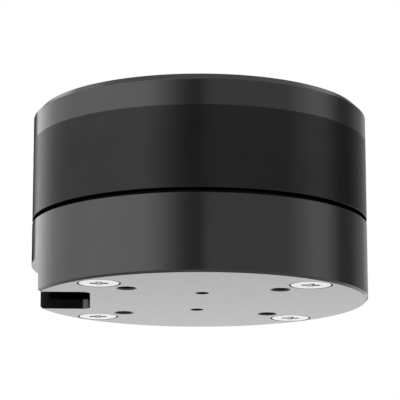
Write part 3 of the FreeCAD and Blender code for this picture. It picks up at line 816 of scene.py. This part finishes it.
@dataclass
class Stator:
    """The stator base, core, insulators, coils and leads. Sizes in millimetres, angles in degrees."""

    teeth: int = 12
    bore: float = 8.525
    yoke: float = 10.705
    neck: float = 1.304
    shoe_inner: float = 16.4
    shoe_outer: float = 17.5
    shoe_half: float = 12.5
    bore_points: int = 5
    rim_points: int = 9
    stack_bottom: float = 11.225
    stack_top: float = 17.225
    sheets: int = 20
    sheet_gap: float = 0.012
    weld: float = 0.0001
    coil_start: float = 11.005
    coil_finish: float = 15.711
    coil_middle: float = 14.225
    coil_half_height: float = 4.7
    inner_half: float = 2.699
    outer_half: float = 3.61
    coil_corner: float = 0.9
    least_corner: float = 0.3
    window_half: float = 1.42
    window_half_height: float = 3.52
    window_corner: float = 0.2
    filling_inset: float = 0.344
    filling_corner: float = 0.6
    wire_radius: float = 0.215
    wire_sides: int = 7
    turns: int = 10
    end_layers: int = 2
    layer_step: float = 0.4085
    wire_edge: float = 70.0

    def build(self) -> None:
        """Dresses the plain pieces, and makes the laminations and windings."""
        dress(DULL_BLACK, "stator_base")
        dress(NYLON, *(f"{side.value}_insulator" for side in Side))
        dress(SLEEVE, "phase_leads")
        self.laminations()
        coil = self.coil()
        form = Form()
        for tooth in range(self.teeth):
            form.copy_of(coil, Matrix.Rotation(tooth * math.tau / self.teeth, 4, "Z"))
        form.piece("wound_coils", ENAMEL, "copper_wire", "phase_coils", sharp=self.wire_edge)

    def laminations(self) -> None:
        """Makes the stack of separate sheets."""
        pitch = (self.stack_top - self.stack_bottom) / self.sheets
        sheet, form = self.sheet(pitch - self.sheet_gap), Form()
        for index in range(self.sheets):
            form.copy_of(sheet, Matrix.Translation((0.0, 0.0, self.stack_bottom + index * pitch)))
        form.piece("core_laminations", LAMINATIONS, "core_steel", "stator_core")

    def sheet(self, thickness: float) -> Mesh:
        """One sheet of the core, from three flat outlines for each tooth.

        Args:
            thickness: How thick it is.

        Returns:
            The sheet's mesh, its lower face at height 0.
        """
        form, half, shoe = Form(), 180.0 / self.teeth, self.shoe_half
        root, crown = [math.degrees(math.asin(self.neck / radius)) for radius in (self.yoke, self.shoe_inner)]
        bore = [(self.bore, angle) for angle in spread(self.bore_points, -half)]
        yoke = [(self.yoke, angle) for angle in (-half, -root, root, half)]
        rim = [(self.shoe_outer, angle) for angle in spread(self.rim_points, shoe)]
        tips = [(self.shoe_inner, angle) for angle in (shoe, crown, -crown, -shoe)]
        for tooth in range(self.teeth):
            for outline in (bore + yoke, [yoke[2], yoke[1], tips[2], tips[1]], rim + tips):
                turns = [(radius, math.radians(angle + tooth * 2.0 * half)) for radius, angle in outline]
                form.mesh.faces.new(form.loop([Vector((*polar(*turn), 0.0)) for turn in turns]))
        bmesh.ops.remove_doubles(form.mesh, verts=form.mesh.verts[:], dist=self.weld)
        raised = bmesh.ops.extrude_face_region(form.mesh, geom=form.mesh.faces[:])["geom"]
        tops = [item for item in raised if isinstance(item, Vert)]
        bmesh.ops.translate(form.mesh, verts=tops, vec=(0.0, 0.0, thickness))
        return form.shape("sheet")

    def half_width(self, along: float) -> float:
        """Half the coil's width at a distance from the motor's axis."""
        share = (along - self.coil_start) / (self.coil_finish - self.coil_start)
        return self.inner_half + (self.outer_half - self.inner_half) * share

    def coil(self) -> Mesh:
        """One winding on the tooth along X: a filled middle under turns of wire.

        Returns:
            The winding's mesh.
        """
        form = Form()
        inset = self.filling_inset
        low, high = self.coil_start + inset, self.coil_finish - inset
        tall = self.coil_half_height - inset
        window = rounded_loop(self.window_half, self.window_half_height, self.window_corner)
        inner, outer = [
            rounded_loop(self.half_width(along) - inset, tall, self.filling_corner) for along in (low, high)
        ]
        outlines = ((low, inner), (high, outer), (high, window), (low, window))
        form.skin([
            form.loop([Vector((along, y, self.coil_middle + z)) for y, z in outline])
            for along, outline in outlines
        ], ends=False)
        first, last = self.coil_start + self.wire_radius, self.coil_finish - self.wire_radius
        self.wind(form, first, last, self.turns, self.wire_radius)
        for layer in range(1, self.end_layers + 1):
            for end in (first, last):
                self.wind(form, end, end, 1, self.wire_radius + self.layer_step * layer)
        return form.shape("coil")

    def wind(self, form: Form, first: float, last: float, turns: int, sunk: float) -> None:
        """Adds turns of wire.

        Args:
            form: The form that they are added to.
            first: Where the first turn starts, from the motor's axis.
            last: Where the last turn ends.
            turns: How many there are.
            sunk: How far the wire's middle lies inside the coil's outline.
        """
        path = []
        corner = max(self.least_corner, self.coil_corner - sunk)
        count = len(rounded_loop(self.inner_half, self.coil_half_height, corner))
        for step in range(turns * count + 1):
            along = first + (last - first) * step / (turns * count)
            loop = rounded_loop(self.half_width(along) - sunk, self.coil_half_height - sunk, corner)
            y, z = loop[step % count]
            path.append(Vector((along, y, self.coil_middle + z)))
        sides = range(self.wire_sides)
        form.swept(path, [polar(self.wire_radius, side * math.tau / self.wire_sides) for side in sides])


@dataclass
class Encoder:
    """The encoder board with its chip, small parts, screws and socket. Sizes in millimetres."""

    board_top: float = 4.7
    screw_place: float = 6.0
    screw_turns: Pair = (15.0, 52.0)
    head_radius: float = 1.7
    head_height: float = 1.1
    rim_height: float = 0.45
    crown_share: float = 0.35
    dome_angle: float = 70.0
    dome_steps: int = 4
    screw_tip: float = 2.2
    point: float = 0.3
    point_taper: float = 0.1
    plain_neck: float = 0.1
    screw_sides: int = 40
    screw_thread: Thread = Thread(0.78, 0.16, 0.35)
    recess: CrossRecess = CrossRecess(1.5, 0.32, 0.7)
    chip_half: float = 2.2
    leg_reach: float = 1.65
    legs: int = 4
    leg_bends: tuple[Flat, ...] = (
        (-0.1, 0.45), (0.25, 0.45), (0.42, 0.38), (0.52, 0.16), (0.66, 0.065), (0.9, 0.065),
    )
    leg_section: tuple[Flat, ...] = ((-0.2, -0.06), (0.2, -0.06), (0.2, 0.06), (-0.2, 0.06))
    parts: tuple[Place, ...] = (
        (5.0, 3.2, 0.0), (5.0, 1.1, 0.0), (7.4, 2.2, 90.0), (3.4, 5.6, 0.0),
        (-4.6, 2.6, 0.0), (-4.6, 0.9, 0.0), (-7.4, 3.6, 90.0), (-3.4, 5.6, 0.0),
    )
    part_half: float = 0.4
    part_height: float = 0.6
    part_bevel: float = 0.05
    body_spans: tuple[Flat, ...] = ((-0.55, 0.55),)
    tinned_spans: tuple[Flat, ...] = ((-0.8, -0.5), (0.5, 0.8))
    tin: float = 0.02
    lead_place: float = 11.505
    lead_angles: tuple[float, ...] = (160.0, 180.0, 200.0)
    lead_radius: float = 0.4
    fillet: tuple[Flat, ...] = (
        (0.0, 0.35), (0.1, 0.2), (0.25, 0.08), (0.4, 0.02), (0.4, 0.005), (0.0, 0.005),
    )
    fillet_sides: int = 28
    socket_low: Place = (-12.8, -4.5, 1.35)
    socket_high: Place = (-8.6, 4.5, 3.9)
    socket_wall: float = 0.55
    socket_bevel: float = 0.07
    mouth_flare: tuple[Flat, ...] = ((-0.3, 0.5), (0.02, 0.18), (0.2, 0.0))
    pins: int = 6
    pin_reach: float = 3.125
    pin_half: float = 0.15
    pin_tip_half: float = 0.06
    pin_length: float = 2.4
    pin_taper: float = 0.35
    key_places: tuple[float, ...] = (-2.6, 2.6)
    key_half: float = 0.45
    key_depth: float = 1.3
    latch_span: Flat = (1.2, 2.3)
    latch_inset: float = 0.75
    cut_margin: float = 0.3
    cut_bevel: float = 0.02

    def build(self) -> None:
        """Dresses the board and its chip, and makes what stands on it."""
        dress(SOLDER_MASK, "encoder_board")
        dress(PACKAGE, "encoder_chip")
        self.screws()
        self.chip_legs()
        self.small_parts(self.body_spans).piece("capacitors", CERAMIC, "chip")
        self.joints()
        self.socket()
        self.contacts()

    def screws(self) -> None:
        """Makes the two pan-head screws."""
        blank, form = Form(), Form()
        top, dome = self.board_top + self.head_height, math.radians(self.dome_angle)
        threads = self.screw_thread.rings(self.screw_tip + self.point, self.board_top - self.plain_neck)
        tip = (self.screw_tip, threads[0][1] - self.point_taper, 0.0)
        rim = self.board_top + self.rim_height
        head = [(self.board_top, self.head_radius, 0.0), (rim, self.head_radius, 0.0)]
        for step in range(1, self.dome_steps + 1):
            angle = step / self.dome_steps * dome
            rise = (self.head_height - self.rim_height) * math.sin(angle) / math.sin(dome)
            share = self.crown_share + (1.0 - self.crown_share) * math.cos(angle)
            head.append((rim + rise, self.head_radius * share, 0.0))
        blank.turned((0.0, 0.0), [tip, *threads, *head], self.screw_thread.pitch, self.screw_sides)
        screw = carved(blank.shape("board_screw"), self.recess.cutter(top, -1.0))
        for place, turn in zip((self.screw_place, -self.screw_place), self.screw_turns):
            seat = Matrix.Translation((0.0, place, 0.0))
            form.copy_of(screw, seat @ Matrix.Rotation(math.radians(turn), 4, "Z"))
        form.piece("pan_head_screws", NICKEL, "plated_screws", "board_screws")

    def chip_legs(self) -> None:
        """Makes the chip's bent legs."""
        form = Form()
        for side in (1.0, -1.0):
            bends = [(side * (self.chip_half + out), self.board_top + up) for out, up in self.leg_bends]
            for along in spread(self.legs, self.leg_reach):
                form.swept([Vector((along, *bend)) for bend in bends], self.leg_section)
        form.piece("chip_legs", SOLDER, "contacts")

    def small_parts(self, spans: Sequence[Flat], swell: float = 0.0) -> Form:
        """Blocks that make up the small parts on both halves of the board.

        Args:
            spans: Where the blocks of a part start and end along it.
            swell: How much they are larger than the parts' bodies.

        Returns:
            The form of all the blocks.
        """
        form = Form()
        half, height = self.part_half + swell, self.part_height + swell
        places = [(x, side * y, turn) for side in (1.0, -1.0) for x, y, turn in self.parts]
        for x, y, turn in places:
            seat = Matrix.Translation((x, y, self.board_top)) @ Matrix.Rotation(math.radians(turn), 4, "Z")
            for start, end in spans:
                block = Form()
                block.block(Vector((start, -half, 0.0)), Vector((end, half, height)), self.part_bevel)
                form.copy_of(block.shape("part"), seat)
        return form

    def joints(self) -> None:
        """Makes the small parts' tinned ends and the solder round the leads."""
        form = self.small_parts(self.tinned_spans, self.tin)
        rings = [(self.board_top + rise, self.lead_radius + out, 0.0) for rise, out in self.fillet]
        for angle in self.lead_angles:
            place = polar(self.lead_place, math.radians(angle))
            form.turned(place, rings, segments=self.fillet_sides, hollow=True)
        form.piece("solder_joints", SOLDER, "contacts")

    def socket(self) -> None:
        """Makes the socket's shell, with its mouth, keyways and latch windows."""
        shell, mouth, keys, form = Form(), Form(), Form(), Form()
        low, high = Vector(self.socket_low), Vector(self.socket_high)
        wall, margin = self.socket_wall, self.cut_margin
        shell.block(low, high, self.socket_bevel)
        middle, tall = (low.z + high.z) / 2.0, (high.z - low.z) / 2.0 - wall
        flare = [*self.mouth_flare, (high.x - wall - low.x, 0.0)]
        sections = [(low.x + along, high.y - wall + wider, tall + wider) for along, wider in flare]
        mouth.tapered((0.0, middle), sections)
        for place in self.key_places:
            start = Vector((low.x - margin, place - self.key_half, low.z - margin))
            end = Vector((low.x + self.key_depth, place + self.key_half, low.z + wall + margin))
            keys.block(start, end, self.cut_bevel)
        for side in (-1.0, 1.0):
            flank = side * (high.y - wall / 2.0)
            start = Vector((low.x + self.latch_span[0], flank - wall, low.z + self.latch_inset))
            end = Vector((low.x + self.latch_span[1], flank + wall, high.z - self.latch_inset))
            keys.block(start, end, self.cut_bevel)
        made = carved(shell.shape("socket_blank"), mouth.shape("mouth_cutter"))
        form.copy_of(carved(made, keys.shape("key_cutter")), Matrix.Identity(4))
        form.piece("plug_socket", SOCKET_NYLON, "socket", "cable_socket")

    def contacts(self) -> None:
        """Makes the socket's square pins with pointed ends."""
        form = Form()
        low, high = Vector(self.socket_low), Vector(self.socket_high)
        back, middle = high.x - self.socket_wall, (low.z + high.z) / 2.0
        shoulder, tip = back + self.pin_taper - self.pin_length, back - self.pin_length
        ends = ((back, self.pin_half), (shoulder, self.pin_half), (tip, self.pin_tip_half))
        sections = [(along, half, half) for along, half in ends]
        for place in spread(self.pins, self.pin_reach):
            form.tapered((place, middle), sections)
        form.piece("contact_pins", GOLD, "contacts", "socket_pins")


@dataclass
class Rotor:
    """The cap, flux ring, magnets, shaft and what hangs on it. Sizes in millimetres."""

    load_place: float = 8.0
    load_hole: TappedHole = TappedHole(Thread(1.021, 0.06, 0.45, steps=8), 22.544, 1.065, 22.5, 19.45)

    def build(self) -> None:
        """Dresses the rotor's pieces and lines the load's holes with threads."""
        dress(ANODISED, "rotor_cap")
        dress(BLACKENED, "flux_ring")
        dress(MAGNET, "rotor_magnets", "encoder_magnet")
        dress(GROUND, "shaft")
        dress(SPRING, "preload_washer", "retaining_clip")
        # The linings carry real thread relief, and their dull black is painted shade in the holes.
        threads = self.load_hole.lining(on_corners(self.load_place))
        threads.piece("load_threads", DULL_BLACK, "black_anodised", body=Body.ROTOR)


@dataclass
class Bearing:
    """One shielded ball bearing."""

    side: Side

    def build(self) -> None:
        """Dresses the bearing's pieces."""
        name = f"{self.side.value}_bearing"
        dress(BEARING, f"{name}_inner_ring", f"{name}_outer_ring", f"{name}_balls", f"{name}_shields")
        dress(BRASS, f"{name}_cage")


@dataclass(frozen=True)
class Panel:
    """A light or dark panel of the studio, as a stretch of azimuths seen from the object, in degrees.

    Its foot and head are sines of elevations, and it stands at all of them if it has none.
    """

    start: float
    end: float
    fade_in: float
    fade_out: float
    strength: float
    foot: float = -1.0
    head: float = 1.0
    soft: float = 0.08

    def glow(self, sheet: NodeSheet, azimuth: Socket, height: Socket) -> Socket:
        """The panel's share of the surroundings.

        Args:
            sheet: The world's node sheet.
            azimuth: The direction's azimuth in degrees.
            height: The sine of the direction's elevation.

        Returns:
            The panel's strength in that direction.
        """
        first = self.start - self.fade_in
        last = self.end - first
        turned = sheet.math("WRAP", sheet.math("SUBTRACT", azimuth, first), 360.0, 0.0)
        rise = sheet.ramp(turned, 0.0, self.fade_in, high=self.strength, ease=Ease.SOFT)
        fall = sheet.ramp(turned, last, last + self.fade_out, high=self.strength, ease=Ease.SOFT)
        above = sheet.ramp(height, self.foot - self.soft, self.foot)
        below = sheet.ramp(height, self.head, self.head + self.soft, 1.0, 0.0)
        tall = sheet.math("MULTIPLY", above, below)
        return sheet.math("MULTIPLY", tall, sheet.math("SUBTRACT", rise, fall))


@dataclass
class Studio:
    """The camera, floor, lamp and surroundings."""

    target: Place = (0.053 * MM, 0.0, 12.37 * MM)
    distance: float = 242.3 * MM
    azimuth: float = -3.05
    elevation: float = -12.29
    lens: float = 181.3
    clip: Pair = (0.01, 50.0)
    floor_level: float = -360.0 * MM
    floor_size: float = 14.0
    floor_shade: float = 0.86
    floor_roughness: float = 0.9
    cloud_size: float = 400.0
    cloud_shade: float = 0.99
    # The painted shadow and painted light in the floor's glow that glossy surfaces see.
    shadow_glow: float = 0.46
    shadow_span: Pair = (360.0, 1020.0)
    floor_glow: Pair = (0.92, 1.2)
    glow_span: Pair = (1500.0, 2900.0)
    lamp_place: Place = (-0.22, -0.2, 0.62)
    lamp_size: float = 0.5
    lamp_energy: float = 1.6
    ambient: float = 0.75
    overhead: float = 0.3
    overhead_span: Pair = (0.55, 0.8)
    panels: tuple[Panel, ...] = (
        Panel(-155.0, -153.0, 5.0, 36.0, 0.41),
        Panel(-150.0, -40.0, 8.0, 40.0, 0.1),
        Panel(-114.0, -102.0, 26.0, 30.0, -0.2),
        Panel(-7.0, 203.0, 37.0, 6.0, -0.9),
        Panel(4.0, 66.0, 8.0, 8.0, 0.255),
        Panel(79.0, 84.0, 20.0, 27.0, 0.6),
        Panel(140.0, 165.0, 22.0, 20.0, 0.155),
        Panel(153.0, 168.0, 10.0, 8.0, 0.165),
        Panel(176.0, 193.0, 4.0, 4.0, -0.12),
        Panel(-178.0, -160.0, 8.0, 10.0, 0.7, foot=0.42, head=0.57),
        Panel(149.0, 156.0, 5.0, 5.0, 0.4, foot=0.58, head=0.7),
        Panel(154.0, 176.0, 10.0, 6.0, -0.31, foot=0.42, head=0.62),
    )

    def build(self) -> None:
        """Sets up the studio."""
        self.add_camera()
        self.add_floor()
        self.add_lamp()
        self.light_world()

    def add_camera(self) -> None:
        """Places the camera below the mounting face, looking up at it."""
        azimuth, elevation = math.radians(self.azimuth), math.radians(self.elevation)
        level = math.cos(elevation)
        back = Vector((math.sin(azimuth) * level, -math.cos(azimuth) * level, math.sin(elevation)))
        data = bpy.data.cameras.new("camera")
        data.lens = self.lens
        data.clip_start, data.clip_end = self.clip
        camera = placed("camera", data)
        camera.location = Vector(self.target) + back * self.distance
        camera.rotation_euler = (-back).to_track_quat("-Z", "Y").to_euler()
        bpy.context.scene.camera = camera

    def add_floor(self) -> None:
        """Lays a pale floor that reflections see as a glow, with a painted shadow and painted light in it."""
        mesh = bpy.data.meshes.new("floor")
        half = self.floor_size / 2.0
        corners = [(-half, -half), (half, -half), (half, half), (-half, half)]
        mesh.from_pydata([(x, y, self.floor_level) for x, y in corners], [], [range(len(corners))])
        mesh.materials.append(self.floor_material())
        floor = placed("floor", mesh)

    def floor_material(self) -> bpy.types.Material:
        """A pale matt floor that glossy surfaces see glow, with a painted shadow round the object's axis and
        painted light that rises further out.

        Returns:
            The material.
        """
        sheet = MaterialSheet("studio_floor")
        cloud = sheet.ramp(sheet.spots(self.cloud_size), *NOISE_RANGE)
        pale, dim = tint(WHITE, self.floor_shade), tint(WHITE, self.floor_shade * self.cloud_shade)
        colour = sheet.blend(cloud, pale, dim)
        sheet.feed(sheet.shader, {"Base Color": colour, "Roughness": self.floor_roughness})
        # Painted shadow: the glow is dimmer round the object's axis.
        painted_shadow = sheet.ramp(sheet.radius(), *self.shadow_span, low=self.shadow_glow, ease=Ease.SOFT)
        # Painted light: the glow rises further out.
        rise = sheet.ramp(sheet.radius(), *self.glow_span, *self.floor_glow, ease=Ease.SOFT)
        glow = sheet.add("ShaderNodeEmission", {"Strength": sheet.math("MULTIPLY", painted_shadow, rise)})
        path = sheet.add("ShaderNodeLightPath").outputs
        seen = sheet.math("MAXIMUM", path["Is Glossy Ray"], path["Is Transmission Ray"])
        mix = sheet.add("ShaderNodeMixShader", {0: seen, 1: sheet.shader.outputs[0], 2: glow.outputs[0]})
        sheet.feed(sheet.tree.nodes["Material Output"], {"Surface": mix.outputs[0]})
        return sheet.material

    def add_lamp(self) -> None:
        """Hangs one soft lamp over the object's left shoulder."""
        data = bpy.data.lights.new("overhead", "AREA")
        data.shape = "DISK"
        data.size = self.lamp_size
        data.energy = self.lamp_energy
        lamp = placed("overhead", data)
        lamp.location = self.lamp_place
        aim = Vector(self.target) - Vector(self.lamp_place)
        lamp.rotation_euler = aim.to_track_quat("-Z", "Y").to_euler()

    def light_world(self) -> None:
        """Surrounds the object with white, and with panels that glossy surfaces show."""
        world = bpy.data.worlds.new("studio")
        world.use_nodes = True
        bpy.context.scene.world = world
        bpy.context.scene.view_settings.view_transform = "Standard"
        sheet = NodeSheet(world.node_tree)
        path = sheet.add("ShaderNodeLightPath").outputs
        strength = sheet.between(path["Is Glossy Ray"], self.ambient, self.reflected(sheet))
        seen = sheet.math("MAXIMUM", path["Is Camera Ray"], path["Is Transmission Ray"])
        white = {"Color": tint(WHITE), "Strength": sheet.between(seen, strength, 1.0)}
        sheet.feed(world.node_tree.nodes["Background"], white)

    def reflected(self, sheet: NodeSheet) -> Socket:
        """The surroundings that glossy surfaces show.

        Args:
            sheet: The world's node sheet.

        Returns:
            Their strength in each direction.
        """
        x, y, z = sheet.split(sheet.add("ShaderNodeTexCoord").outputs["Generated"])
        azimuth = sheet.math("DEGREES", sheet.math("ARCTAN2", x, sheet.math("MULTIPLY", y, -1.0)))
        shown = 1.0
        for panel in self.panels:
            shown = sheet.math("ADD", shown, panel.glow(sheet, azimuth, z))
        overhead = sheet.ramp(z, *self.overhead_span)
        return sheet.between(overhead, sheet.math("MAXIMUM", shown, 0.0), self.overhead)


def main() -> None:
    """Builds and dresses every sub-assembly, then the studio."""
    logging.basicConfig(level=logging.INFO, format="%(message)s")
    bearings = [Bearing(side) for side in Side]
    for assembly in (Housing(), Stator(), Encoder(), Rotor(), *bearings, Studio()):
        assembly.build()
        log.info("%s built", type(assembly).__name__)


if __name__ == "__main__":
    main()
